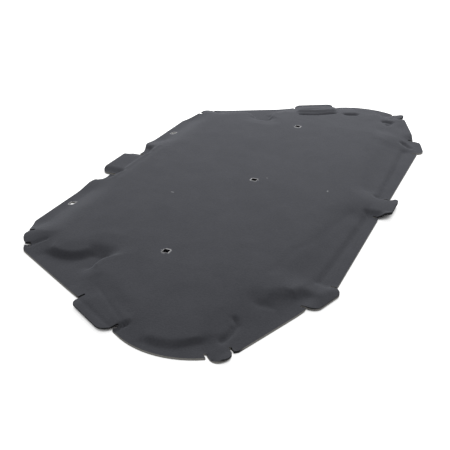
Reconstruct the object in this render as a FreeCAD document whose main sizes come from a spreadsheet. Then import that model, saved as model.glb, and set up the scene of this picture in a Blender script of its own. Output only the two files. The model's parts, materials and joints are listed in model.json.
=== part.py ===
import FreeCAD, Part
import math
import os
import re

import Sketcher

# Hood insulation pad: one sheet of needled felt, hot pressed between two mould halves and then
# trimmed by a die. Millimetres, +Z up. The pad lies on its pressed rim with the relief upwards.
# +X runs across the pad and +Y towards its narrower front edge. It is symmetric about X = 0, so
# the right half is modelled and mirrored. The origin is the bottom centre of the pad's box.

NODE = "insulation_pad"

# A face that looks up at least this far is a top, not a wall
LEVEL_RISE = 0.95

# Driving sizes. Half widths run across from the middle; front and rear sizes run from the origin.
SIZES = {
    # Section of the felt
    "rim_thickness": 4.0,
    "felt_thickness": 6.0,
    "hem_thickness": 2.5,
    "plateau_height": 22.0,
    "tab_height": 12.0,
    "high_tab_height": 16.0,
    "wall_draft": 24.0,
    "shoulder_radius": 8.0,
    # Gentle falls of the plateau towards its front edge, its ends and its rear edge
    "front_fall_run": 72.0,
    "front_fall": 12.0,
    "end_fall_run": 215.0,
    "end_fall": 8.0,
    "rear_fall_run": 70.0,
    "rear_fall": 4.0,
    # Trimmed outline
    "front_edge": 340.0,
    "bay_depth": 16.0,
    "bay_half_width": 94.0,
    "bay_ramp": 46.0,
    "front_half_width": 352.0,
    "shoulder_half_width": 470.0,
    "shoulder_front": 283.0,
    "hip_half_width": 572.0,
    "hip_front": 92.0,
    "side_half_width": 644.0,
    "side_front": 34.0,
    "side_bulge": 24.0,
    "side_rear": 202.0,
    "haunch_half_width": 607.0,
    "haunch_rear": 240.0,
    "corner_half_width": 472.0,
    "corner_rear": 292.0,
    "tail_half_width": 360.0,
    "rear_edge": 329.0,
    "outline_radius": 16.0,
    # Foot of the plateau's wall, from the rear middle round to the front middle
    "wall_rear": 310.0,
    "tail_wall_half_width": 358.0,
    "tail_wall_rear": 294.0,
    "heel_half_width": 476.0,
    "heel_rear": 264.0,
    "heel_radius": 22.0,
    "crook_half_width": 474.0,
    "crook_rear": 222.0,
    "haunch_wall_half_width": 545.0,
    "end_wall_half_width": 628.0,
    "end_wall_rear": 206.0,
    "end_wall_radius": 40.0,
    "belly_half_width": 638.0,
    "belly_rear": 95.0,
    "belly_radius": 50.0,
    "waist_half_width": 577.0,
    "waist_front": 18.0,
    "hip_wall_half_width": 558.0,
    "hip_wall_front": 78.0,
    "brow_half_width": 514.0,
    "brow_front": 118.0,
    "brow_radius": 26.0,
    "temple_half_width": 454.0,
    "temple_radius": 34.0,
    "gully_half_width": 410.0,
    "gully_rear_side": 86.0,
    "gully_front_side": 143.0,
    "gully_radius": 15.0,
    "lobe_half_width": 473.0,
    "lobe_rear": 141.0,
    "lobe_radius": 46.0,
    "lobe_belly": 478.0,
    "lobe_middle": 205.0,
    "lobe_front_half_width": 464.0,
    "lobe_front": 250.0,
    "lobe_front_radius": 22.0,
    "neck_half_width": 432.0,
    "neck_front": 257.0,
    "neck_radius": 14.0,
    "cheek_half_width": 450.0,
    "front_wall": 306.0,
    "front_wall_half_width": 108.0,
    "front_wall_ramp": 24.0,
    "soft_radius": 18.0,
    # Tabs: width along the edge, reach beyond it, and how far their raised pads go
    "front_tab_width": 132.0,
    "front_tab_reach": 29.0,
    "shoulder_tab_width": 42.0,
    "shoulder_tab_reach": 6.0,
    "shoulder_tab_place": 43.0,
    "hip_tab_width": 114.0,
    "hip_tab_reach": 20.0,
    "haunch_tab_width": 38.0,
    "haunch_tab_reach": 18.0,
    "haunch_tab_place": 32.0,
    "corner_tab_width": 84.0,
    "corner_tab_reach": 18.0,
    "corner_tab_place": 47.0,
    "corner_pad_width": 50.0,
    "corner_pad_shift": 12.0,
    "rear_tab_width": 92.0,
    "rear_tab_reach": 24.0,
    "tab_radius": 18.0,
    "tab_root": 34.0,
    "pad_root": 60.0,
    "tab_lip": 9.0,
    "tab_flare": 5.0,
    "notch_width": 8.0,
    "slit_width": 5.0,
    "slit_depth": 13.0,
    # Square clip holes
    "hole_side": 13.0,
    "rim_hole_half_span": 247.0,
    "rim_hole_inset": 24.0,
    "row_hole_half_span": 388.0,
    "row_hole_front": 5.0,
    "centre_hole_rear": 22.0,
    # Spare stock around the trimmed outline, above the relief and past a cut
    "stock_margin": 40.0,
}

doc = FreeCAD.newDocument("hood_insulation_pad")
sheet = doc.addObject("Spreadsheet::Sheet", "Sizes")


def fill_sheet():
    """Writes each driving size into a row of the sheet: its name, its value and its alias."""
    for row, (name, size) in enumerate(SIZES.items(), start=1):
        sheet.set("A%d" % row, name)
        sheet.set("B%d" % row, str(size))
        sheet.setAlias("B%d" % row, name)
    doc.recompute()


def bound(words):
    """An expression on the sheet: each size's name gets the sheet's own name before it."""
    return re.sub(r"[a-z_]{3,}", lambda found: "Sizes." + found.group(0), words)


def value(words):
    """The present value of an expression on the sheet."""
    return float(sheet.evalExpression(bound(words)))


def place_point(sketch, geometry, end, corner):
    """Ties one end of a sketch geometry to its two driving sizes."""
    for kind, axis, words in (("DistanceX", -2, corner[0]), ("DistanceY", -1, corner[1])):
        size = value(words)
        if abs(size) < 1e-9:
            sketch.addConstraint(Sketcher.Constraint("PointOnObject", geometry, end, axis))
            continue
        ends = (-1, 1, geometry, end) if size > 0 else (geometry, end, -1, 1)
        index = sketch.addConstraint(Sketcher.Constraint(kind, *ends, abs(size)))
        sketch.setExpression("Constraints[%d]" % index, bound(words if size > 0 else "-(%s)" % words))


def corner_arc(before, corner, after, radius):
    """Start, middle and end of the arc that rounds a corner."""
    back = (before - corner).normalize()
    ahead = (after - corner).normalize()
    half = back.getAngle(ahead) / 2
    reach = radius / math.tan(half)
    inward = (back + ahead).normalize()
    centre = corner + inward * (radius / math.sin(half))
    return corner + back * reach, centre - inward * radius, corner + ahead * reach


def draw_outline(sketch, corners, bulges=None):
    """A closed outline of straight edges through its corners. A corner is (x, y, radius) in words
    of the sheet, with no radius where it is sharp. bulges gives an edge, by the number of the
    corner that it starts from, the radius of an arc that bows outwards instead."""
    bulges = bulges or {}
    count = len(corners)
    points = [FreeCAD.Vector(value(x), value(y), 0) for x, y, _ in corners]
    starts, ends, arcs = list(points), list(points), [None] * count
    for i, (_, _, radius) in enumerate(corners):
        if radius:
            arcs[i] = corner_arc(points[i - 1], points[i], points[(i + 1) % count], value(radius))
            ends[i], starts[i] = arcs[i][0], arcs[i][2]
    edges = []
    for i in range(count):
        start, end = starts[i], ends[(i + 1) % count]
        if i in bulges:
            chord = end - start
            outward = FreeCAD.Vector(chord.y, -chord.x, 0).normalize()
            bow = value(bulges[i])
            sagitta = bow - math.sqrt(bow ** 2 - (chord.Length / 2) ** 2)
            middle = (start + end) * 0.5 + outward * sagitta
            edges.append(sketch.addGeometry(Part.Arc(start, middle, end), False))
            index = sketch.addConstraint(Sketcher.Constraint("Radius", edges[-1], bow))
            sketch.setExpression("Constraints[%d]" % index, bound(bulges[i]))
        else:
            edges.append(sketch.addGeometry(Part.LineSegment(start, end), False))
    for i, corner in enumerate(corners):
        before, after = edges[i - 1], edges[i]
        if not corner[2]:
            sketch.addConstraint(Sketcher.Constraint("Coincident", before, 2, after, 1))
            place_point(sketch, after, 1, corner)
            continue
        turn = (points[i] - points[i - 1]).cross(points[(i + 1) % count] - points[i]).z
        first, last = (1, 2) if turn > 0 else (2, 1)
        arc = sketch.addGeometry(Part.Arc(*(arcs[i] if turn > 0 else reversed(arcs[i]))), False)
        sketch.addConstraint(Sketcher.Constraint("Tangent", before, 2, arc, first))
        sketch.addConstraint(Sketcher.Constraint("Tangent", arc, last, after, 1))
        index = sketch.addConstraint(Sketcher.Constraint("Radius", arc, value(corner[2])))
        sketch.setExpression("Constraints[%d]" % index, bound(corner[2]))
        point = sketch.addGeometry(Part.Point(points[i]), True)
        sketch.addConstraint(Sketcher.Constraint("PointOnObject", point, 1, before))
        sketch.addConstraint(Sketcher.Constraint("PointOnObject", point, 1, after))
        place_point(sketch, point, 1, corner)


def add_sketch(body, name, role="XY_Plane"):
    """A sketch on one of the body's own planes."""
    plane = [feature for feature in body.Origin.OriginFeatures if feature.Role == role][0]
    sketch = body.newObject("Sketcher::SketchObject", name)
    sketch.AttachmentSupport = [(plane, "")]
    sketch.MapMode = "FlatFace"
    return sketch


def padded_body(name, corners, height, draft=None, bulges=None):
    """A body with one outline, padded up from the mould's base plane, with drafted walls."""
    body = doc.addObject("PartDesign::Body", name)
    sketch = add_sketch(body, name + "_outline")
    draw_outline(sketch, corners, bulges)
    pad = body.newObject("PartDesign::Pad", name + "_pad")
    pad.Profile = (sketch, [""])
    pad.setExpression("Length", bound(height))
    if draft:
        pad.setExpression("TaperAngle", "-" + bound(draft))
    doc.recompute()
    return body


def wedge_cut(body, name, role, corners):
    """Cuts a body through along one axis with a triangle drawn on the plane across it."""
    volume = body.Shape.Volume
    sketch = add_sketch(body, name + "_profile", role)
    draw_outline(sketch, corners)
    cut = body.newObject("PartDesign::Pocket", name)
    cut.Profile = (sketch, [""])
    cut.Type = "ThroughAll"
    cut.SideType = "Symmetric"
    doc.recompute()
    print(name, "removes", round(volume - body.Shape.Volume), "mm3")


def rise(face):
    """How far a face looks upwards: 1 where it is level, 0 where it is a vertical wall."""
    low_u, high_u, low_v, high_v = face.ParameterRange
    return face.normalAt((low_u + high_u) / 2, (low_v + high_v) / 2).z


def shoulder_edges(shape, level):
    """The names of the edges where a top that is near level meets a drafted wall above a height."""
    names = []
    for number, edge in enumerate(shape.Edges, start=1):
        rises = sorted(rise(face) for face in shape.ancestorsOfType(edge, Part.Face))
        over = edge.CenterOfMass.z > level
        if over and len(rises) == 2 and rises[1] > LEVEL_RISE and 0 < rises[0] < LEVEL_RISE:
            names.append("Edge%d" % number)
    return names


def round_shoulder(body):
    """Rounds the edge where the body's top turns down into its walls."""
    tip = body.Tip
    edges = shoulder_edges(tip.Shape, value("rim_thickness"))
    fillet = body.newObject("PartDesign::Fillet", body.Name + "_shoulder")
    fillet.Base = (tip, edges)
    fillet.setExpression("Radius", bound("shoulder_radius"))
    doc.recompute()
    print(fillet.Name, "rounds", len(edges), "edges")


fill_sheet()


# Plateau: the lofty middle of the pad, with lobes that fill the bays of a hood's frame. Its core is
# the same form for the underside: it has a crisp shoulder, and it falls later to leave a thin front hem.
def make_plateau():
    corners = [
        ("-stock_margin", "-wall_rear", None),
        ("tail_wall_half_width", "-tail_wall_rear", "soft_radius"),
        ("heel_half_width", "-heel_rear", "heel_radius"),
        ("crook_half_width", "-crook_rear", "gully_radius"),
        ("haunch_wall_half_width", "-end_wall_rear", "soft_radius"),
        ("end_wall_half_width", "-end_wall_rear", "end_wall_radius"),
        ("belly_half_width", "-belly_rear", "belly_radius"),
        ("waist_half_width", "waist_front", "soft_radius"),
        ("hip_wall_half_width", "hip_wall_front", "brow_radius"),
        ("brow_half_width", "brow_front", "brow_radius"),
        ("temple_half_width", "brow_front", "temple_radius"),
        ("gully_half_width", "gully_rear_side", "gully_radius"),
        ("gully_half_width", "gully_front_side", "gully_radius"),
        ("lobe_half_width", "lobe_rear", "lobe_radius"),
        ("lobe_belly", "lobe_middle", "lobe_radius"),
        ("lobe_front_half_width", "lobe_front", "lobe_front_radius"),
        ("neck_half_width", "neck_front", "neck_radius"),
        ("cheek_half_width", "front_edge + stock_margin", None),
        ("front_wall_half_width + front_wall_ramp", "front_edge + stock_margin", None),
        ("front_wall_half_width", "front_wall", "soft_radius"),
        ("-stock_margin", "front_wall", None),
    ]
    body = padded_body("plateau", corners, "plateau_height", "wall_draft")
    above = "plateau_height + stock_margin"
    core_fall = "(front_fall - felt_thickness + hem_thickness)"
    core_run = "front_fall_run * %s / front_fall" % core_fall
    wedge_cut(body, "core_front_cut", "YZ_Plane", [
        ("front_edge - " + core_run, "plateau_height", None),
        ("front_edge + " + core_run, "plateau_height - 2 * " + core_fall, None),
        ("front_edge + " + core_run, above, None),
    ])
    wedge_cut(body, "end_fall_cut", "XZ_Plane", [
        ("belly_half_width - end_fall_run", "plateau_height", None),
        ("belly_half_width + end_fall_run", "plateau_height - 2 * end_fall", None),
        ("belly_half_width + end_fall_run", above, None),
    ])
    wedge_cut(body, "rear_fall_cut", "YZ_Plane", [
        ("-(wall_rear - rear_fall_run)", "plateau_height", None),
        ("-(wall_rear + rear_fall_run)", above, None),
        ("-(wall_rear + rear_fall_run)", "plateau_height - 2 * rear_fall", None),
    ])
    core = body.Tip
    wedge_cut(body, "front_fall_cut", "YZ_Plane", [
        ("front_edge - front_fall_run", "plateau_height", None),
        ("front_edge + front_fall_run", "plateau_height - 2 * front_fall", None),
        ("front_edge + front_fall_run", above, None),
    ])
    round_shoulder(body)
    return body, core


plateau, plateau_core = make_plateau()


# Trimmed edges that carry a tab: the two corners of each, going round with the pad on the left
EDGES = {
    "front": (("0", "front_edge - bay_depth"), ("0", "front_edge - bay_depth")),
    "shoulder": (("shoulder_half_width", "shoulder_front"), ("front_half_width", "front_edge")),
    "hip": (("side_half_width", "-side_front"), ("hip_half_width", "hip_front")),
    "haunch": (("haunch_half_width", "-haunch_rear"), ("side_half_width", "-side_rear")),
    "corner": (("tail_half_width", "-rear_edge"), ("corner_half_width", "-corner_rear")),
    "rear": (("0", "-rear_edge"), ("0", "-rear_edge")),
}


def edge_placement(edge, along=None):
    """The frame of a tab: its origin on the trimmed edge, its own +Y pointing outwards.
    along is the distance from the edge's first corner, or the edge's middle where it is left out."""
    first, last = [FreeCAD.Vector(value(x), value(y), 0) for x, y in EDGES[edge]]
    run = last - first
    if run.Length < 1e-9:
        angle = 0.0 if first.y > 0 else 180.0
        return FreeCAD.Placement(first, FreeCAD.Rotation(FreeCAD.Vector(0, 0, 1), angle))
    distance = value(along) if along else run.Length / 2
    angle = math.degrees(math.atan2(-run.y, -run.x))
    place = first + run * (distance / run.Length)
    return FreeCAD.Placement(place, FreeCAD.Rotation(FreeCAD.Vector(0, 0, 1), angle))


def tab_corners(width, reach, root, radius="tab_radius", shift="0"):
    """A tab or its raised pad, in the tab's frame: square at the root and round at the tip."""
    return [
        ("%s - (%s) / 2" % (shift, width), "-(%s)" % root, None),
        ("%s + (%s) / 2" % (shift, width), "-(%s)" % root, None),
        ("%s + (%s) / 2" % (shift, width), reach, radius),
        ("%s - (%s) / 2" % (shift, width), reach, radius),
    ]


# Tabs: each has a trimmed outline and a raised pad. A pad that ends in a lip stops short of the
# tab's edge; an open pad lifts the whole tab and runs out past its tip.
TABS = [
    {"edge": "front", "width": "front_tab_width", "reach": "front_tab_reach", "slit": "notch_width",
     "open": True},
    {"edge": "shoulder", "width": "shoulder_tab_width", "reach": "shoulder_tab_reach",
     "slit": "notch_width", "open": True, "along": "shoulder_tab_place"},
    {"edge": "hip", "width": "hip_tab_width", "reach": "hip_tab_reach", "slit": "slit_width",
     "open": False, "height": "high_tab_height"},
    {"edge": "haunch", "width": "haunch_tab_width", "reach": "haunch_tab_reach", "slit": "slit_width",
     "open": False, "along": "haunch_tab_place"},
    {"edge": "corner", "width": "corner_tab_width", "reach": "corner_tab_reach", "slit": "slit_width",
     "open": False, "along": "corner_tab_place", "pad_width": "corner_pad_width",
     "pad_shift": "corner_pad_shift", "height": "high_tab_height"},
    {"edge": "rear", "width": "rear_tab_width", "reach": "rear_tab_reach", "slit": "slit_width",
     "open": True, "height": "high_tab_height"},
]


def make_tab(tab):
    """The trimmed outline of a tab and its raised pad, as two bodies in the tab's place."""
    width, reach = tab["width"], tab["reach"]
    place = edge_placement(tab["edge"], tab.get("along"))
    outline = padded_body(tab["edge"] + "_tab", tab_corners(width, reach, "tab_root"),
                          "plateau_height + stock_margin")
    if tab["open"]:
        corners = tab_corners(width + " + 2 * tab_flare", reach + " + stock_margin", "pad_root")
    else:
        pad_width = tab.get("pad_width", width + " - 2 * tab_lip")
        corners = tab_corners(pad_width, reach + " - tab_lip", "pad_root", "tab_radius - tab_lip",
                              tab.get("pad_shift", "0"))
    raised = padded_body(tab["edge"] + "_raised_pad", corners, tab.get("height", "tab_height"),
                         "wall_draft")
    outline.Placement = place
    raised.Placement = place
    return outline, raised


def make_slit(name, place, width, offset):
    """A relief slit beside a tab, round at its inner end, which lets the tab bend."""
    round_end = width + " / 2.01"
    corners = [
        ("-%s / 2" % width, "-slit_depth", round_end),
        ("%s / 2" % width, "-slit_depth", round_end),
        ("%s / 2" % width, "stock_margin", None),
        ("-%s / 2" % width, "stock_margin", None),
    ]
    body = padded_body(name, corners, "plateau_height + stock_margin")
    aside = FreeCAD.Placement(FreeCAD.Vector(offset, 0, 0), FreeCAD.Rotation())
    body.Placement = place.multiply(aside)
    return body


def make_hole(name, x, y):
    """A square clip hole through the felt."""
    box = doc.addObject("Part::Box", name)
    box.setExpression("Length", bound("hole_side"))
    box.setExpression("Width", bound("hole_side"))
    box.setExpression("Height", bound("plateau_height + stock_margin"))
    box.setExpression("Placement.Base.x", bound("%s - hole_side / 2" % x))
    box.setExpression("Placement.Base.y", bound("%s - hole_side / 2" % y))
    return box


def join(name, members, kind="Part::MultiFuse"):
    """Several shapes made one."""
    fuse = doc.addObject(kind, name)
    fuse.Shapes = members
    fuse.Refine = True
    doc.recompute()
    return fuse


def combine(name, kind, base, tool):
    """A cut or a common of two shapes."""
    result = doc.addObject(kind, name)
    result.Base = base
    result.Tool = tool
    result.Refine = True
    doc.recompute()
    return result


tab_outlines, raised_pads, slits = [], [], []
for tab in TABS:
    outline, raised = make_tab(tab)
    tab_outlines.append(outline)
    raised_pads.append(raised)
    aside = value(tab["width"]) / 2 + value(tab["slit"]) / 2
    for side in (-1, 1):
        name = "%s_slit_%s" % (tab["edge"], "left" if side < 0 else "right")
        slits.append(make_slit(name, outline.Placement, tab["slit"], side * aside))

holes = [
    make_hole("rim_hole", "rim_hole_half_span", "front_edge - rim_hole_inset"),
    make_hole("row_hole", "row_hole_half_span", "row_hole_front"),
    make_hole("centre_hole", "0", "-centre_hole_rear"),
]


# Trimming die: the right half of the outline with its tabs, less the slits and the clip holes
def make_die():
    corners = [
        ("0", "-rear_edge", None),
        ("tail_half_width", "-rear_edge", None),
        ("corner_half_width", "-corner_rear", None),
        ("haunch_half_width", "-haunch_rear", None),
        ("side_half_width", "-side_rear", None),
        ("side_half_width", "-side_front", None),
        ("hip_half_width", "hip_front", None),
        ("shoulder_half_width", "shoulder_front", "outline_radius"),
        ("front_half_width", "front_edge", "outline_radius"),
        ("bay_half_width + bay_ramp", "front_edge", "outline_radius"),
        ("bay_half_width", "front_edge - bay_depth", None),
        ("0", "front_edge - bay_depth", None),
    ]
    bow = "((side_rear - side_front) * (side_rear - side_front) / 4 + side_bulge * side_bulge)"
    field = padded_body("field", corners, "plateau_height + stock_margin",
                        bulges={4: bow + " / (2 * side_bulge)"})
    whole = join("die_outline", [field] + tab_outlines)
    cut = combine("die_slits", "Part::Cut", whole, join("slits", slits))
    return combine("die", "Part::Cut", cut, join("clip_holes", holes))


def make_right_side():
    """The half space to the right of the pad's plane of symmetry, as far as the stock goes."""
    box = doc.addObject("Part::Box", "right_side")
    box.setExpression("Length", bound("side_half_width + side_bulge + stock_margin"))
    box.setExpression("Width", bound("front_edge + rear_edge + 2 * stock_margin"))
    box.setExpression("Height", bound("plateau_height + stock_margin"))
    box.setExpression("Placement.Base.y", "-" + bound("(rear_edge + stock_margin)"))
    return box


die = make_die()

# Blank: the flat felt that is pressed to the rim's thickness
blank = padded_body("blank", [
    ("0", "-(rear_edge + stock_margin)", None),
    ("side_half_width + stock_margin", "-(rear_edge + stock_margin)", None),
    ("side_half_width + stock_margin", "front_edge + stock_margin", None),
    ("0", "front_edge + stock_margin", None),
], "rim_thickness")

# Mould relief: the plateau and the raised pads. The core's relief, one felt thickness lower, is the
# other mould half, so the felt keeps one thickness along the press's stroke.
relief = join("relief", [plateau] + raised_pads)
core_relief = join("core_relief", [plateau_core] + raised_pads)
lower_relief = doc.addObject("App::Link", "lower_relief")
lower_relief.LinkedObject = core_relief
lower_relief.setExpression("Placement.Base.z", "-" + bound("felt_thickness"))
doc.recompute()
pressed = combine("pressed_felt", "Part::Cut", join("moulded", [blank, relief]), lower_relief)
trimmed = combine("trimmed_felt", "Part::Common", pressed, die)
right_half = combine("right_half", "Part::Common", trimmed, make_right_side())

left_half = doc.addObject("Part::Mirroring", "left_half")
left_half.Source = right_half
left_half.Normal = FreeCAD.Vector(1, 0, 0)
doc.recompute()
pad = join("pad", [right_half, left_half])
pad.Label = NODE
print("pad of", round(pad.Shape.Volume), "mm3 with", len(pad.Shape.Faces), "faces")

for item in doc.Objects:
    if any(word in item.State for word in ("Invalid", "Error")):
        raise RuntimeError("%s failed: %s" % (item.Name, item.getStatusString()))
if pad.Shape.isNull() or not pad.Shape.isValid() or len(pad.Shape.Solids) != 1:
    raise RuntimeError("the pad isn't one valid solid")

os.makedirs("parts", exist_ok=True)
pad.Shape.exportStep("parts/%s.step" % pad.Label)
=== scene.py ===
# %% [markdown]
# A hood insulation pad is one sheet of needled felt with a dark fleece skin. A press moulds it
# between two warm halves, and a die then trims its outline, its relief slits and its clip holes.
# This lesson makes it the same way: a flat blank, a press, some sculpting for wear, a trim and then
# the fleece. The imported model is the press's drawing, so it is loaded first and nothing here moves it.

# %% Load the frame
import json
import math

import bmesh
import bpy
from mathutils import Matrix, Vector
from mathutils.bvhtree import BVHTree
from mathutils.geometry import intersect_point_line


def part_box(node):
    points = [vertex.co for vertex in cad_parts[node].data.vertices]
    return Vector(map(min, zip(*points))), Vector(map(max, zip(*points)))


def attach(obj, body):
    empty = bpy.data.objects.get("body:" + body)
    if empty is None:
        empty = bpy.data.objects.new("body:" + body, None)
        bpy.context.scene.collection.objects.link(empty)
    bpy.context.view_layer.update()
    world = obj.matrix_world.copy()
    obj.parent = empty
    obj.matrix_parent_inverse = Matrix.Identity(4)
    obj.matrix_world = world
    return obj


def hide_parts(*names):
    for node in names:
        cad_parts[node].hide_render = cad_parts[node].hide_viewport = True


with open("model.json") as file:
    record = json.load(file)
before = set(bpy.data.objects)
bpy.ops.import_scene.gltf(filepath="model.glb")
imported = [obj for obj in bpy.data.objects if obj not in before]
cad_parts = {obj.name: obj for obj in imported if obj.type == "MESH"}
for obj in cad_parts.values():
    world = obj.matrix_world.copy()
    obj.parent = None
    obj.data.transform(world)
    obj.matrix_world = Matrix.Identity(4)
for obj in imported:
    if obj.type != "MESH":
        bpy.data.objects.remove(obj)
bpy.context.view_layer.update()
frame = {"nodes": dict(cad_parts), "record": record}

NODE = "insulation_pad"
MM = 0.001
drawing = frame["nodes"][NODE]
low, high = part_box(NODE)
print("the drawing measures", [round(size / MM) for size in high - low], "mm")

# %% [markdown]
# The press has an upper and a lower half. Each is one side of the drawing, kept as a tree that
# answers rays quickly. A ray straight down finds the height that the mould gives the felt there.
# The felt runs on past the trimmed outline, so a ray that misses takes the nearest height instead.
# A shrinkwrap modifier could do the same, but it leaves that spare felt where it was.

# %% The two mould halves
WELD = 0.001 * MM
FACING = 0.05
ABOVE = 1.0


def mould_half(side):
    """One side of the drawing, upper (1) or lower (-1), as a tree for rays."""
    bm = bmesh.new()
    bm.from_mesh(drawing.data)
    bmesh.ops.remove_doubles(bm, verts=bm.verts, dist=WELD)
    others = [face for face in bm.faces if face.normal.z * side < FACING]
    bmesh.ops.delete(bm, geom=others, context="FACES")
    tree = BVHTree.FromBMesh(bm)
    bm.free()
    return tree


def pressed_height(tree, x, y):
    """The height of a mould half at a place, or of its nearest point outside the outline."""
    hit = tree.ray_cast(Vector((x, y, ABOVE)), Vector((0, 0, -1)))[0]
    if hit is None:
        hit = tree.find_nearest(Vector((x, y, high.z / 2)))[0]
    return hit.z


upper_half = mould_half(1)
lower_half = mould_half(-1)
print("in the middle the mould gives the skin a height of",
      round(pressed_height(upper_half, 0, 0) / MM, 1), "mm")

# %% [markdown]
# The blank is a flat sheet before it is pressed. Here it is a grid of fine cells, extruded into two
# layers so that it has a top and an underside, with some spare felt around the outline. The cells
# are small enough to show a crease and large enough to keep the mesh light.

# %% Lay the blank
CELL = 4.2 * MM
SPARE = 30 * MM


def flat_blank():
    """A grid over the whole drawing with some spare felt around it, in two layers."""
    size = high - low + Vector((2 * SPARE, 2 * SPARE, 0))
    middle = (low + high) / 2
    bm = bmesh.new()
    bmesh.ops.create_grid(bm, x_segments=round(size.x / CELL), y_segments=round(size.y / CELL), size=0.5)
    bmesh.ops.scale(bm, vec=(size.x, size.y, 1), verts=bm.verts)
    bmesh.ops.translate(bm, vec=(middle.x, middle.y, 0), verts=bm.verts)
    under = list(bm.verts)
    made = bmesh.ops.extrude_face_region(bm, geom=bm.faces[:], use_keep_orig=True)["geom"]
    top = [item for item in made if isinstance(item, bmesh.types.BMVert)]
    return bm, under, top


bm, under, top = flat_blank()
print("laid a blank of", len(bm.faces), "faces in two layers")

# %% [markdown]
# Pressing sets the height of every corner of the blank. Felt doesn't take a crisp corner: smoothing
# the heights alone, and not the places, gives it the soft shoulders and feet that a warm press leaves.

# %% Press it
SOFTENING = 2


def press(verts, half):
    """Sets the heights of one layer."""
    for vert in verts:
        vert.co.z = pressed_height(half, vert.co.x, vert.co.y)


def soften(verts, rounds):
    """Smooths heights only."""
    for _ in range(rounds):
        bmesh.ops.smooth_vert(bm, verts=verts, factor=0.5, use_axis_z=True)


for layer, half in ((under, lower_half), (top, upper_half)):
    press(layer, half)
for layer in (under, top):
    soften(layer, SOFTENING)
print("pressed up to", round(max(vert.co.z for vert in top) / MM, 1), "mm")

# %% [markdown]
# A worn press doesn't leave every wall equally sharp. Some fade into a slope, some pads sink towards
# their tips, and tabs that are bent over a clip curl up. A sculptor would do this with the smooth,
# flatten, crease and grab brushes. Here each brush is a function that works along a run of points.
# The runs are written for one half in millimetres and count for the mirrored half too. Cloth
# simulation isn't used: a press sets this felt stiff, so it keeps its shape and doesn't drape.

# %% Find the corners under a brush
NEAR, FAR = -1, 1
BOTH = (NEAR, FAR)


def smooth_fall(share):
    """1 at a share of 0, falling softly to 0 at a share of 1."""
    return 0.5 + 0.5 * math.cos(math.pi * min(share, 1))


def run_distance(spot, run, square):
    """How far a spot is from a run of points. A square run reaches only straight to its sides."""
    best = math.inf
    for first, last in zip(run, run[1:]):
        share = intersect_point_line(spot, first, last)[1]
        if not square or 0 <= share <= 1:
            best = min(best, (spot - first.lerp(last, min(max(share, 0), 1))).length)
    return best


def survey():
    """Every corner of the blank with its side and its plan place, both halves folded on one."""
    return [(vert, FAR if vert.co.x > 0 else NEAR, abs(vert.co.x), vert.co.y) for vert in bm.verts]


def brush(run, width, sides=BOTH, square=False):
    """The corners under a brush, each with the share of the stroke that it takes."""
    run = [Vector(point) * MM for point in run]
    reach = width * MM
    left, right = min(point.x for point in run) - reach, max(point.x for point in run) + reach
    rear, front = min(point.y for point in run) - reach, max(point.y for point in run) + reach
    under_brush = [(vert, Vector((x, y))) for vert, side, x, y in plan
                   if left < x < right and rear < y < front and side in sides]
    strokes = [(vert, smooth_fall(run_distance(spot, run, square) / reach)) for vert, spot in under_brush]
    return [(vert, share) for vert, share in strokes if share > 0]


plan = survey()
print("surveyed", len(plan), "corners for the brushes")

# %% [markdown]
# Five brushes are enough for felt: smooth, flatten, draw, fill and grab. Each moves the corners under
# it by their share of the stroke, so it has a soft edge. Blender's own sculpt brushes need a person at
# the screen, and these give the same result at every run.

# %% The five brushes
RIM = 4.0 * MM
top_layer = set(top)


def fade(run, width, rounds, sides=BOTH):
    """Smooth brush: turns a wall into a soft slope."""
    soften([vert for vert, _ in brush(run, width, sides)], rounds)


def sink(run, width, amount, sides=BOTH):
    """Flatten brush: presses a raised place down towards the rim, by an amount from 0 to 1."""
    for vert, share in brush(run, width, sides):
        base = RIM if vert in top_layer else 0
        vert.co.z = base + (vert.co.z - base) * (1 - amount * share)


def lift(run, width, height, sides=BOTH):
    """Draw brush: raises both layers, or creases them where the height is negative."""
    for vert, share in brush(run, width, sides):
        vert.co.z += height * MM * share


def level(run, width, height, thickness, sides=BOTH, square=False):
    """Fill brush: brings the skin to one height along the run, and the underside below it."""
    for vert, share in brush(run, width, sides, square):
        target = height if vert in top_layer else height - thickness
        vert.co.z += (target * MM - vert.co.z) * share


def grab(run, width, inwards=0, forwards=0):
    """Grab brush: drags the relief across the pad, towards its middle and its front."""
    for vert, share in brush(run, width):
        vert.co.x -= math.copysign(1, vert.co.x) * inwards * MM * share
        vert.co.y += forwards * MM * share


print("the brushes work on", len(top_layer), "corners of the skin and as many below it")

# %% [markdown]
# Where felt is drawn over the edge of a mould, the wall ends some millimetres beside its drawn line.
# New walls could be cut in, but dragging those that are there keeps the relief smooth. Inwards is
# towards the middle of the pad and forwards is towards its front edge. The corners move in plan, so
# they are surveyed again at the end.

# %% Drag the walls to their places
LOBE_WALL = [(440, 252), (474, 226), (480, 190), (466, 152), (440, 142)]
UPPER_END_WALL = [(614, -45), (638, -85), (642, -122)]
LOWER_END_WALL = [(628, -186), (618, -206)]
CROOK = [(464, -224), (475, -243), (462, -258)]
grab(LOBE_WALL, width=50, inwards=8)
grab(UPPER_END_WALL, width=50, inwards=-12)
grab(LOWER_END_WALL, width=45, inwards=20)
grab(CROOK, width=40, forwards=14)
drawn, plan = plan, survey()
farthest = max(math.dist(old[2:], new[2:]) for old, new in zip(drawn, plan))
print("dragged the walls by up to", round(farthest / MM), "mm")

# %% [markdown]
# The places on the pad are named like those of a body, from the front to the rear: neck, cheek, brow,
# hip and haunch. At both ends the felt is stretched over the lobes, so it stays lower there and most
# walls are slopes. Sinking comes before fading, because a faded wall no longer shows where it stood.

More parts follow.
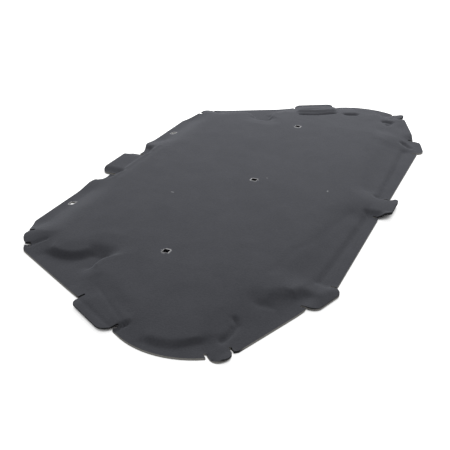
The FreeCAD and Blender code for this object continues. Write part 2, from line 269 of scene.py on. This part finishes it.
# %% Sculpt the ends
END_WALL = [(606, -20), (634, -95), (620, -195)]
GULLY_END = [(402, 136), (404, 94)]
NECK = [(432, 257), (450, 252)]
CHEEK = [(440, 266), (450, 330)]
BROW = [(512, 118), (560, 76)]
HIP_END = [(600, -20), (630, -62)]
HAUNCH_SLOPE = [(575, -206), (482, -214)]


def skin_height(run, side=NEAR):
    """The height of the skin halfway along the first stretch of a run, in millimetres."""
    spot = (Vector(run[0]) + Vector(run[1])) / 2 * MM
    skin = [entry for entry in plan if entry[0] in top_layer and entry[1] == side]
    nearest = min(skin, key=lambda entry: math.dist(entry[2:], spot))
    return round(nearest[0].co.z / MM, 1)


sink(LOBE_WALL, width=60, amount=0.27)
sink(END_WALL, width=60, amount=0.2)
level(GULLY_END, width=38, height=19, thickness=6)
fade(GULLY_END, width=34, rounds=20)
fade(NECK, width=26, rounds=40)
fade(CHEEK, width=40, rounds=60)
fade(BROW, width=30, rounds=50)
fade(HIP_END, width=28, rounds=50)
fade(HAUNCH_SLOPE, width=45, rounds=160)
print("the end of the gully stands at", skin_height(GULLY_END), "mm")

# %% [markdown]
# The rear of a hood falls towards the windscreen, and the pad falls with it. One wide stroke of the
# flatten brush makes that slope. Two faint lines run along it, where ribs of the mould pressed in,
# and fine strokes of the draw brush crease them. A bump map could show the lines, but real creases
# also catch the light from the side.

# %% Sculpt the rear
REAR_SLOPE = [(90, -306), (350, -292)]
REAR_LINE = [(121, -303), (248, -301), (359, -294)]
SECOND_LINE = [(62, -273), (119, -261), (180, -251), (231, -242), (277, -221), (378, -211)]
HAUNCH_FOOT = [(476, -224), (470, -243)]
PATCH_GAP = [(448, -256), (460, -276)]
sink(REAR_SLOPE, width=90, amount=0.65)
lift(REAR_LINE, width=7, height=-0.8)
lift(SECOND_LINE, width=15, height=-0.9)
lift(HAUNCH_FOOT, width=14, height=-2)
fade(PATCH_GAP, width=26, rounds=80)
print("the rear slope comes down to", skin_height(REAR_SLOPE), "mm")

# %% [markdown]
# Tabs reach past the plateau, to tuck in or to take a clip. They are thin, so they keep the bends of
# use. The hip tab is the largest: it bridges from the wall to a raised edge, so the fill brush gives
# it a height along its root and along its edge. Fine creases then part it from the wall and mark
# the lip along its edge.

# %% Sculpt the hip tab
HIP_TAB_ROOT = [(617, -38), (540, 68)]
HIP_TAB_EDGE = [(648, -20), (590, 84)]
HIP_TAB_FRONT = [(536, 66), (582, 98)]
HIP_TAB_LIP = [(640, -24), (583, 79)]
HIP_TAB_SIDE = [(648, -27), (628, -34), (617, -41)]
HIP_LINE = [(540, 65), (576, 22), (603, -12), (623, -41)]
level(HIP_TAB_ROOT, width=36, height=13.5, thickness=5, square=True)
level(HIP_TAB_EDGE, width=48, height=9, thickness=2.5, square=True)
fade(HIP_TAB_FRONT, width=32, rounds=50)
lift(HIP_TAB_LIP, width=6, height=-1.2)
lift(HIP_TAB_SIDE, width=7, height=-3)
lift(HIP_LINE, width=6, height=-1.2)
print("the hip tab's edge stands at", skin_height(HIP_TAB_EDGE), "mm")

# %% [markdown]
# The small tabs at the shoulder, the haunch, the corner and the rear are bent up at their tips. The
# draw brush raises a tip, and it creases the line where the tab starts. The flatten brush first takes
# the corner tab's pad down, because a worn pad is thinner than the mould.

# %% Sculpt the small tabs
SHOULDER_TAB_LINE = [(456, 280), (441, 272), (425, 257)]
HAUNCH_TAB_TIP = [(640, -232), (626, -240)]
HAUNCH_TAB_LINE = [(597, -206), (576, -211), (548, -212), (535, -203)]
HAUNCH_TAB_FRONT = [(628, -187), (637, -200), (649, -212)]
CORNER_TAB_TIP = [(372, -330), (440, -308)]
CORNER_TAB_SIDE = [(428, -300), (424, -318)]
REAR_TAB_SIDE = [(44, -306), (44, -328)]
lift(SHOULDER_TAB_LINE, width=6, height=-3)
fade(HAUNCH_TAB_TIP, width=40, rounds=4)
lift(HAUNCH_TAB_LINE, width=9, height=-5)
lift(HAUNCH_TAB_FRONT, width=6, height=-2)
lift(HAUNCH_TAB_TIP, width=22, height=4)
sink(CORNER_TAB_TIP, width=40, amount=0.5)
fade(CORNER_TAB_TIP, width=40, rounds=6)
fade(CORNER_TAB_SIDE, width=14, rounds=16)
lift(CORNER_TAB_TIP, width=26, height=4)
sink(REAR_TAB_SIDE, width=16, amount=0.6)
print("the haunch tab's tip stands at", skin_height(HAUNCH_TAB_TIP), "mm")

# %% [markdown]
# The front rim lies down on the floor, so the floor shows through the two front holes. The fill brush
# flattens it in one wide stroke, after the middle tab there has got its low ridge and its sunk ends.
# Fading the shoulder behind it takes off the step that this leaves.

# %% Sculpt the front
FRONT_RIDGE = [(0, 292), (134, 288)]
FRONT_TAB_END = [(64, 306), (64, 350)]
FRONT_RIM = [(195, 335), (345, 335)]
FRONT_SHOULDER = [(150, 275), (370, 275)]
lift(FRONT_RIDGE, width=10, height=1.5)
sink(FRONT_TAB_END, width=24, amount=0.8)
level(FRONT_RIM, width=85, height=2.5, thickness=2.5)
fade(FRONT_SHOULDER, width=36, rounds=60)
print("the front rim lies at", skin_height(FRONT_RIM), "mm")

# %% [markdown]
# No two ends of a used pad are alike. At the far end of this one the rim stands up, the hip has a
# welt with a valley behind it, and a pocket and a recess are pressed in. At the near end one corner
# of the rear tab curls. A mirror modifier couldn't show that, so these strokes name their side.

# %% Sculpt what only one end has
FAR_CROOK = [(560, -206), (500, -222), (455, -262)]
FAR_RIM = [(575, -246), (450, -294)]
FAR_WALL = [(490, -170), (460, -225), (420, -280)]
FAR_HIP_PAD = [(525, 44), (545, -1), (580, -39)]
FAR_HIP_VALLEY = [(500, 33), (520, -12), (556, -50)]
FAR_POCKET = [(560, -86), (570, -108)]
FAR_RECESS = [(547, -198), (551, -217), (523, -215)]
FAR_CORNER_ROOT = [(404, -284), (392, -300)]
NEAR_REAR_CORNER = [(46, -343), (46, -353)]
level(FAR_CROOK, width=60, height=14, thickness=6, sides=(FAR,))
level(FAR_RIM, width=45, height=14, thickness=4, sides=(FAR,))
fade(FAR_WALL, width=50, rounds=120, sides=(FAR,))
lift(FAR_HIP_PAD, width=14, height=6, sides=(FAR,))
lift(FAR_HIP_VALLEY, width=10, height=-8, sides=(FAR,))
lift(FAR_POCKET, width=16, height=-9, sides=(FAR,))
lift(FAR_RECESS, width=12, height=-7, sides=(FAR,))
sink(CORNER_TAB_TIP, width=40, amount=1, sides=(FAR,))
lift(FAR_CORNER_ROOT, width=14, height=-6, sides=(FAR,))
lift(NEAR_REAR_CORNER, width=22, height=5, sides=(NEAR,))
print("the rim stands at", skin_height(FAR_RIM, FAR), "mm at the far end and at",
      skin_height(FAR_RIM), "mm at the near end")

# %% [markdown]
# A sculpted sheet can end up below the floor. Real felt comes to rest on it, so the underside is put
# back to the floor, and the skin to the thickness of a hem above it. Measuring the thinnest place
# shows that the two layers don't cross. The bmesh then becomes a mesh object, ready for the die.

# %% Let it settle
HEM = 2.5 * MM


def new_object(name, bm):
    """A mesh object made from a bmesh, which it uses up."""
    mesh = bpy.data.meshes.new(name)
    bm.to_mesh(mesh)
    bm.free()
    made = bpy.data.objects.new(name, mesh)
    bpy.context.scene.collection.objects.link(made)
    return made


for vert in bm.verts:
    vert.co.z = max(vert.co.z, HEM if vert in top_layer else 0)
bmesh.ops.recalc_face_normals(bm, faces=bm.faces)
skin_above = {vert.co.xy.to_tuple(6): vert.co.z for vert in top}
thinnest = min(skin_above[vert.co.xy.to_tuple(6)] - vert.co.z for vert in under)
print("the thinnest felt measures", round(thinnest / MM, 1), "mm")
felt = new_object("felt_blank", bm)

# %% [markdown]
# The skin is a needled fleece: matte charcoal, a little blue, and mottled where the fibres lie
# differently. A flat colour would look like paint, so noise of three sizes drives it: patches some
# centimetres wide, tufts of a few millimetres and single fibres. The noise lies on the pad's own
# coordinates, so it needs no unwrapping and keeps its scale all over.

# %% Noise for the fleece
PATCHES_PER_METRE = 22
TUFTS_PER_METRE = 260
FIBRES_PER_METRE = 900


def new_material(name):
    """A material that is a graph of nodes."""
    made = bpy.data.materials.new(name)
    made.use_nodes = True
    return made


def add_node(tree, kind, **settings):
    """A node with its inputs and properties set by name."""
    node = tree.nodes.new(kind)
    for name, setting in settings.items():
        if name in node.inputs:
            node.inputs[name].default_value = setting
        else:
            setattr(node, name, setting)
    return node


def noise(tree, place, scale, detail):
    """A noise texture on the pad's own coordinates."""
    node = add_node(tree, "ShaderNodeTexNoise", Scale=scale, Detail=detail)
    tree.links.new(place.outputs["Object"], node.inputs["Vector"])
    return node.outputs["Fac"]


fleece = new_material("charcoal_fleece")
skin_tree = fleece.node_tree
skin_place = add_node(skin_tree, "ShaderNodeTexCoord")
patches = noise(skin_tree, skin_place, PATCHES_PER_METRE, detail=3)
tufts = noise(skin_tree, skin_place, TUFTS_PER_METRE, detail=2)
fibres = noise(skin_tree, skin_place, FIBRES_PER_METRE, detail=1)
print("tufts are about", round(1 / TUFTS_PER_METRE / MM, 1), "mm wide")

# %% [markdown]
# The patches and the tufts each wander between two charcoals, and the skin is an even mix of both.
# Where the punch tore the felt, pale fibres show: an attribute, painted later, says where.

# %% Colour of the fleece
CHARCOAL = (0.0465, 0.0480, 0.0555, 1)
PALE_CHARCOAL = (0.0615, 0.0630, 0.0720, 1)
FRAYED_GREY = (0.52, 0.52, 0.53, 1)
USUAL_NOISE = (0.3, 0.7)
EVEN_MIX = 0.5
FRAY = "fray"
FRAY_SHOWS = (0.2, 0.9)


def mixed(tree, share, first, second):
    """A colour between two others. Each is a constant or the output of another node."""
    node = add_node(tree, "ShaderNodeMix", data_type="RGBA")
    if isinstance(share, float):
        node.inputs["Factor"].default_value = share
    else:
        tree.links.new(share, node.inputs["Factor"])
    for name, colour in (("A", first), ("B", second)):
        socket = [item for item in node.inputs if item.name == name and item.type == "RGBA"][0]
        if isinstance(colour, tuple):
            socket.default_value = colour
        else:
            tree.links.new(colour, socket)
    return [item for item in node.outputs if item.type == "RGBA"][0]


def stretched(tree, value, low_end, high_end, least=0.0, most=1.0):
    """A value spread so that the range it usually has fills another, zero to one if none is given."""
    ends = {"From Min": low_end, "From Max": high_end, "To Min": least, "To Max": most}
    node = add_node(tree, "ShaderNodeMapRange", **ends)
    tree.links.new(value, node.inputs["Value"])
    return node.outputs["Result"]


def mottled(tree, pattern, dark, pale):
    """A colour that wanders between two others with a noise."""
    return mixed(tree, stretched(tree, pattern, *USUAL_NOISE), dark, pale)


def painted(tree, name):
    """What an attribute says at each corner."""
    return add_node(tree, "ShaderNodeAttribute", attribute_name=name).outputs["Fac"]


broad = mottled(skin_tree, patches, CHARCOAL, PALE_CHARCOAL)
fine = mottled(skin_tree, tufts, CHARCOAL, PALE_CHARCOAL)
skin = mixed(skin_tree, EVEN_MIX, broad, fine)
frayed = stretched(skin_tree, painted(skin_tree, FRAY), *FRAY_SHOWS)
skin_shader = skin_tree.nodes["Principled BSDF"]
skin_tree.links.new(mixed(skin_tree, frayed, skin, FRAYED_GREY), skin_shader.inputs["Base Color"])
print("the skin's colour takes", len(skin_tree.links), "links")

# %% [markdown]
# Tufts and fibres stand up, so two bumps are laid over each other. Real displacement would need far
# finer cells. Fleece is rough and has a soft sheen that brightens towards a shallow view. These are
# the same all over, so they are constants, set on the shader's own sockets.

# %% Relief and sheen of the fleece
RELIEF = 0.35
TUFT_DEPTH = 1.2 * MM
FIBRE_DEPTH = 0.5 * MM
FLEECE_FINISH = {"Roughness": 0.95, "Specular IOR Level": 0.15, "Sheen Weight": 0.12,
                 "Sheen Roughness": 0.45, "Sheen Tint": (0.86, 0.90, 1.0, 1)}


def raised(tree, height, strength, depth, under=None):
    """A bump from a height, laid over another bump."""
    node = add_node(tree, "ShaderNodeBump", Strength=strength, Distance=depth)
    tree.links.new(height, node.inputs["Height"])
    if under:
        tree.links.new(under, node.inputs["Normal"])
    return node.outputs["Normal"]


def set_finish(shader, finish):
    """Constants on the shader's own sockets."""
    for name, setting in finish.items():
        shader.inputs[name].default_value = setting


tufted = raised(skin_tree, tufts, RELIEF, TUFT_DEPTH)
skin_tree.links.new(raised(skin_tree, fibres, RELIEF, FIBRE_DEPTH, tufted), skin_shader.inputs["Normal"])
set_finish(skin_shader, FLEECE_FINISH)
felt.data.materials.append(fleece)
print("the fleece takes", len(skin_tree.nodes), "nodes")

# %% [markdown]
# Where the die cuts, the skin ends and the felt's own fibres show. At the rim they are pressed hard
# and cut clean, and look paler and browner than the skin. Higher up, on the tabs and in the clip
# holes, the cut edge is painted near black as shade: the gap under lifted tabs and the dark inside the
# holes. So it is in the relief slits, as the shade in those gaps. It is a second material, which
# changes with the height above the floor and with an attribute that is painted later.

# %% Cut edge
FELT_BROWN = (0.19, 0.185, 0.175, 1)
PALE_FELT = (0.36, 0.35, 0.33, 1)
# Painted shade: near black for the cut edge under lifted tabs, inside the holes and in the slits.
PAINTED_SHADE_FELT = (0.022, 0.022, 0.024, 1)
PRESSED_BELOW = 3.5 * MM
# Above this height the cut edge is all painted shade.
SHADE_PAINTED_ABOVE = 6.0 * MM
# The attribute that marks where the slits' cut edges are painted as shade.
SLIT_SHADE = "slit"
CUT_RELIEF = 0.5
CUT_FINISH = {"Roughness": 1.0, "Specular IOR Level": 0.1}


def make_cut_edge():
    """The material of the walls that the die leaves: pale at the rim, painted shade higher up and in
    slits.
    """
    edge = new_material("cut_felt_edge")
    tree = edge.node_tree
    shader = tree.nodes["Principled BSDF"]
    place = add_node(tree, "ShaderNodeTexCoord")
    strands = noise(tree, place, FIBRES_PER_METRE, detail=2)
    pressed = mottled(tree, strands, FELT_BROWN, PALE_FELT)
    height = add_node(tree, "ShaderNodeSeparateXYZ")
    tree.links.new(place.outputs["Object"], height.inputs[0])
    # With its height above the floor the cut edge turns from pressed felt into painted shade.
    painted_shade = stretched(tree, height.outputs["Z"], PRESSED_BELOW, SHADE_PAINTED_ABOVE)
    outline = mixed(tree, painted_shade, pressed, PAINTED_SHADE_FELT)
    # Near the slits the cut edge is painted as the shade in the gaps.
    colour = mixed(tree, painted(tree, SLIT_SHADE), outline, PAINTED_SHADE_FELT)
    tree.links.new(colour, shader.inputs["Base Color"])
    tree.links.new(raised(tree, strands, CUT_RELIEF, FIBRE_DEPTH), shader.inputs["Normal"])
    set_finish(shader, CUT_FINISH)
    return edge


cut_edge = make_cut_edge()
print("the cut edge takes", len(cut_edge.node_tree.nodes), "nodes")

# %% [markdown]
# The die is the drawing itself with its two sides driven apart: the trimmed outline, the slits and
# the holes then stand as tall walls. It carries the cut edge's material, and the cut hands that on to
# the walls it makes. Cutting each slit and hole by hand would take many steps and could miss one.

# %% Make the die
DIE_REACH = 100 * MM


def trimming_die():
    """The drawing's outline and holes as a tall prism."""
    bm = bmesh.new()
    bm.from_mesh(drawing.data)
    bmesh.ops.remove_doubles(bm, verts=bm.verts, dist=WELD)
    bm.normal_update()
    lifted = {vert for vert in bm.verts if any(face.normal.z > FACING for face in vert.link_faces)}
    for vert in bm.verts:
        vert.co.z = DIE_REACH if vert in lifted else -DIE_REACH
    bmesh.ops.recalc_face_normals(bm, faces=bm.faces)
    return new_object("trimming_die", bm)


die = trimming_die()
die.data.materials.append(cut_edge)
print("the die has", len(die.data.polygons), "faces")

# %% [markdown]
# Trimming is one boolean modifier: the felt inside the die is what stays. Its result becomes the
# pad's mesh, so the blank and the die can go. Soft slopes are then shaded smooth, and edges that turn
# by more than a set angle, such as the cut ones, stay sharp.

# %% Trim it with the die
SHARP_ABOVE = math.radians(50)


def trim(stock, die):
    """What is left of the stock inside the die, as a mesh."""
    cut = stock.modifiers.new("trim", "BOOLEAN")
    cut.operation = "INTERSECT"
    cut.solver = "MANIFOLD"
    cut.material_mode = "TRANSFER"
    cut.object = die
    ready = stock.evaluated_get(bpy.context.evaluated_depsgraph_get())
    return bpy.data.meshes.new_from_object(ready)


mesh = trim(felt, die)
for scratch in (felt, die):
    bpy.data.objects.remove(scratch)
pad = bpy.data.objects.new("felt_pad", mesh)
bpy.context.scene.collection.objects.link(pad)
mesh.polygons.foreach_set("use_smooth", [True] * len(mesh.polygons))
mesh.set_sharp_from_angle(angle=SHARP_ABOVE)
cut_faces = sum(face.material_index for face in mesh.polygons)
print("trimmed to", len(mesh.polygons), "faces, of which", cut_faces, "are cut edges")

# %% [markdown]
# The punch leaves a ring of torn, pale fibres round each clip hole, and some lint lies on the skin.
# Both are painted as one attribute on the corners of the mesh, and the fleece reads it: weight paint
# in code. The holes' places come from the record's mounts. A second attribute marks the relief slits
# beside the tabs, where the cut edge is painted near black as the shade in those gaps.

# %% Paint the holes and the slits
TORN, TOUCHED, LINTY = 1.0, 0.35, 0.5
HOLE_REACH = 12 * MM
LINT = [(-140, 120), (20, -46), (6, -198)]
LINT_REACH = 3 * MM
SLITS = [(615, -237), (414, -286), (314, -311), (41, -341)]
SLIT_REACH = 16 * MM
hole_places = [Vector(mount["pos_m"][:2]) for mount in frame["record"]["mounts"]
               if mount["name"].startswith("clip_hole")]
lint_places = [Vector(place) * MM for place in LINT]
slit_places = [Vector((side * x, y)) * MM for x, y in SLITS for side in BOTH]
cut_corners = {corner for face in mesh.polygons if face.material_index for corner in face.vertices}


def near_any(spot, places, reach):
    """Whether a spot lies within reach of any of the places."""
    return any((spot - place).length < reach for place in places)


def fray_share(vert):
    """How torn the felt is at a corner: most on the cut edge of a clip hole."""
    if near_any(vert.co.xy, hole_places, HOLE_REACH):
        return TORN if vert.index in cut_corners else TOUCHED
    return LINTY if near_any(vert.co.xy, lint_places, LINT_REACH) else 0.0


def slit_shade_share(vert):
    """1 near a relief slit, where the cut edge is painted dark as the gap's shade, 0 elsewhere."""
    return float(near_any(vert.co.xy, slit_places, SLIT_REACH))


def paint(name, share_of):
    """Writes an attribute on the corners and counts those that it marks."""
    shares = [share_of(vert) for vert in mesh.vertices]
    mesh.attributes.new(name, "FLOAT", "POINT").data.foreach_set("value", shares)
    return sum(share > 0 for share in shares)


print("frayed", paint(FRAY, fray_share), "corners")
# Corners by the slits, whose cut edge is painted as shade.
print("darkened", paint(SLIT_SHADE, slit_shade_share), "corners")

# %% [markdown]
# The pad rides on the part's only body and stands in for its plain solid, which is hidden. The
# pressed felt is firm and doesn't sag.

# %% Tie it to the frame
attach(pad, "root")
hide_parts(NODE)
print(pad.name, "stands in for", NODE)

# %% [markdown]
# The floor is white to the camera whatever the light does: there it glows as well as reflects. The
# glow fades where the floor sees little of the sky, so the gap under the pad stays black behind the
# clip holes and the slits, and the pad keeps a soft shadow along its edge. A brighter lamp would also
# whiten the floor, but it would wash out the felt. The floor lies a hair below the pad, because two
# faces at one height would flicker.

# %% Floor
FLOOR_SIZE = 20
FLOOR_GAP = 0.3 * MM
FLOOR_WHITE = (0.86, 0.86, 0.86, 1)
FLOOR_GLOW = 0.65
SHADE_REACH = 200 * MM
DARK_BELOW = 0.15
OPEN_ABOVE = 0.5


def seen_rays(tree):
    """1 for rays from the camera and for those that a mirror or glass passes on."""
    path = add_node(tree, "ShaderNodeLightPath")
    seen = path.outputs["Is Camera Ray"]
    for kind in ("Is Glossy Ray", "Is Transmission Ray"):
        either = add_node(tree, "ShaderNodeMath", operation="MAXIMUM")
        tree.links.new(seen, either.inputs[0])
        tree.links.new(path.outputs[kind], either.inputs[1])
        seen = either.outputs[0]
    return seen


def make_floor_paint():
    """White that glows towards the camera, except where little sky is seen."""
    white = new_material("white_floor")
    tree = white.node_tree
    tree.nodes.clear()
    out = add_node(tree, "ShaderNodeOutputMaterial")
    matte = add_node(tree, "ShaderNodeBsdfDiffuse", Color=FLOOR_WHITE)
    sky = add_node(tree, "ShaderNodeAmbientOcclusion", Distance=SHADE_REACH)
    strength = stretched(tree, sky.outputs["AO"], DARK_BELOW, OPEN_ABOVE, most=FLOOR_GLOW)
    glow = add_node(tree, "ShaderNodeEmission")
    tree.links.new(strength, glow.inputs["Strength"])
    lit = add_node(tree, "ShaderNodeAddShader")
    tree.links.new(matte.outputs[0], lit.inputs[0])
    tree.links.new(glow.outputs[0], lit.inputs[1])
    choice = add_node(tree, "ShaderNodeMixShader")
    tree.links.new(seen_rays(tree), choice.inputs[0])
    tree.links.new(matte.outputs[0], choice.inputs[1])
    tree.links.new(lit.outputs[0], choice.inputs[2])
    tree.links.new(choice.outputs[0], out.inputs["Surface"])
    return white


floor_bm = bmesh.new()
bmesh.ops.create_grid(floor_bm, x_segments=1, y_segments=1, size=FLOOR_SIZE)
floor = new_object("floor", floor_bm)
floor.location.z = -FLOOR_GAP
floor.data.materials.append(make_floor_paint())
print("the floor lies", round(FLOOR_GAP / MM, 1), "mm below the pad")

# %% [markdown]
# A studio lights such a pad from all round, and one large soft box beyond the far corner leaves the
# near walls in shade. The world is dim to the felt and white to the camera, and one area lamp is the
# soft box. A sun lamp would be simpler, but its shadows would be too hard for felt.

# %% Light
AMBIENT = 0.5


def make_world():
    """An even light, white where the camera sees it."""
    world = bpy.data.worlds.new("studio")
    bpy.context.scene.world = world
    world.use_nodes = True
    tree = world.node_tree
    sky = tree.nodes["Background"]
    sky.inputs["Color"].default_value = (1, 1, 1, 1)
    strength = stretched(tree, seen_rays(tree), 0.0, 1.0, least=AMBIENT)
    tree.links.new(strength, sky.inputs["Strength"])


def make_lamp(name, place, aim, size, watts):
    """A soft box that looks from its place at a point."""
    lamp = bpy.data.lights.new(name, "AREA")
    lamp.shape = "RECTANGLE"
    lamp.size, lamp.size_y = size
    lamp.energy = watts
    made = bpy.data.objects.new(name, lamp)
    made.location = place
    made.rotation_euler = (Vector(place) - Vector(aim)).to_track_quat("Z", "Y").to_euler()
    bpy.context.scene.collection.objects.link(made)
    return made


make_world()
key = make_lamp("key", place=(1.7, 0.5, 1.6), aim=(0.1, 0, 0), size=(1.8, 1.8), watts=50)
print("the key light stands", round(key.location.length, 2), "m from the pad's middle")

# %% [markdown]
# The camera stands where the photograph was taken from. Its angle and lens were worked out from the
# pad's own symmetry: mirrored corners, tabs and holes fix the view. Moving a camera by eye could come
# close, but this way the outline can be compared to the pixel.

# %% Camera
FRAME_PIXELS = 450
FOCAL_PIXELS = 773.73
SENSOR = 36.0
AZIMUTH = math.radians(-66.17)
ELEVATION = math.radians(26.87)
TARGET = Vector((-0.2178, -0.044, 0.009))
DISTANCE = 1.6220


def make_camera():
    """A camera that looks at the target from its azimuth and elevation."""
    flat = math.cos(ELEVATION)
    back = Vector((math.sin(AZIMUTH) * flat, -math.cos(AZIMUTH) * flat, math.sin(ELEVATION)))
    lens = bpy.data.cameras.new("camera")
    lens.sensor_width = SENSOR
    lens.lens = FOCAL_PIXELS / FRAME_PIXELS * SENSOR
    camera = bpy.data.objects.new("camera", lens)
    camera.location = TARGET + back * DISTANCE
    camera.rotation_euler = back.to_track_quat("Z", "Y").to_euler()
    bpy.context.scene.collection.objects.link(camera)
    return camera


bpy.context.scene.camera = make_camera()
bpy.context.scene.view_settings.view_transform = "Standard"
print("the lens is", round(bpy.context.scene.camera.data.lens, 1), "mm")
